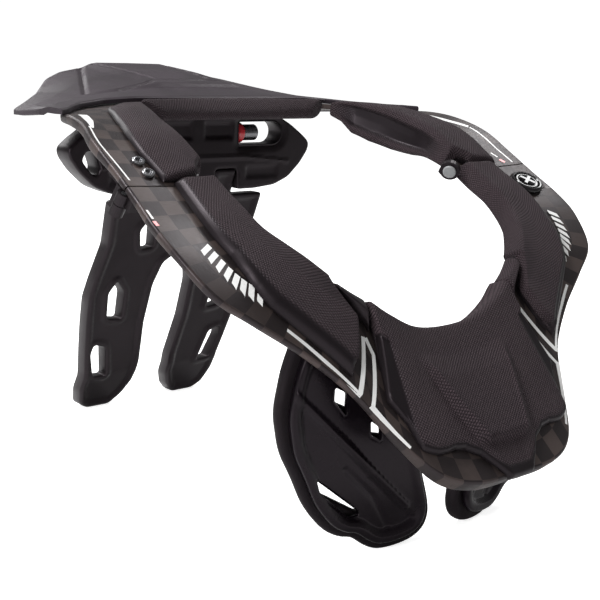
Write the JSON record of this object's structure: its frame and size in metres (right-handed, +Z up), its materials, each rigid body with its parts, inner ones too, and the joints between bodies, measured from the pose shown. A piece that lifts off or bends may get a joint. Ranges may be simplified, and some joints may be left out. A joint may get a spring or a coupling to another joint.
{
  "type": "neck brace",
  "caption": "Open collar for a rider's neck: a stiff shell with foam pads that opens at one shoulder, a tail plate, a forked back strut and two chest plates.",
  "frame": {"origin": "on the floor, below the middle of the whole brace's bounding box", "axes": "+Z up, -Y towards the rider's chest, +Y to the tail behind the rider, +X to the side with the release button"},
  "size_m": [0.2793, 0.3404, 0.2201],
  "materials": {
    "carbon": "clear-coated carbon weave",
    "foam": "matt moulded foam with a fine knurl",
    "trim": "smooth satin foam skin",
    "plastic": "satin moulded plastic",
    "gloss": "glossy smoked plastic",
    "steel": "dark satin steel",
    "red": "glossy",
    "grey": "satin"
  },
  "bodies": {
    "rear": {"rear_shell": "carbon", "rear_pad_left": "foam", "rear_pad_right": "foam", "neck_pad": "foam", "tail_plate": "plastic", "carrier": "plastic", "strut": "plastic", "pin_collar_left": "red", "pin_collar_right": "red", "adjuster_pin_left": "steel", "adjuster_pin_right": "steel", "hinge_leaf_rear": "plastic", "hinge_pin": "steel", "hinge_screw_outer": "steel", "hinge_screw_inner": "steel", "latch_tongue": "plastic", "latch_eye": "plastic", "latch_pin": "grey"},
    "front": {"front_shell": "carbon", "front_pad": "foam", "side_pad_left": "foam", "side_pad_right": "foam", "pad_link_left": "trim", "pad_link_right": "trim", "chest_plate_left": "gloss", "chest_plate_right": "gloss", "chest_pad_left": "foam", "chest_pad_right": "foam", "hinge_leaf_front": "plastic", "button_bezel": "gloss"},
    "button": {"release_button": "plastic"}
  },
  "joints": [
    {"name": "collar_hinge", "type": "hinge", "parent": "rear", "child": "front", "pos_m": [-0.13692, -0.04579, 0.1637], "axis": [-0.103, 0.5062, -0.8563], "range_deg": [0, 35]},
    {"name": "release_button", "type": "slide", "parent": "front", "child": "button", "axis": [0.09, 0.457, -0.8849], "range_m": [0, 0.002], "stiffness_N_per_m": 800}
  ]
}
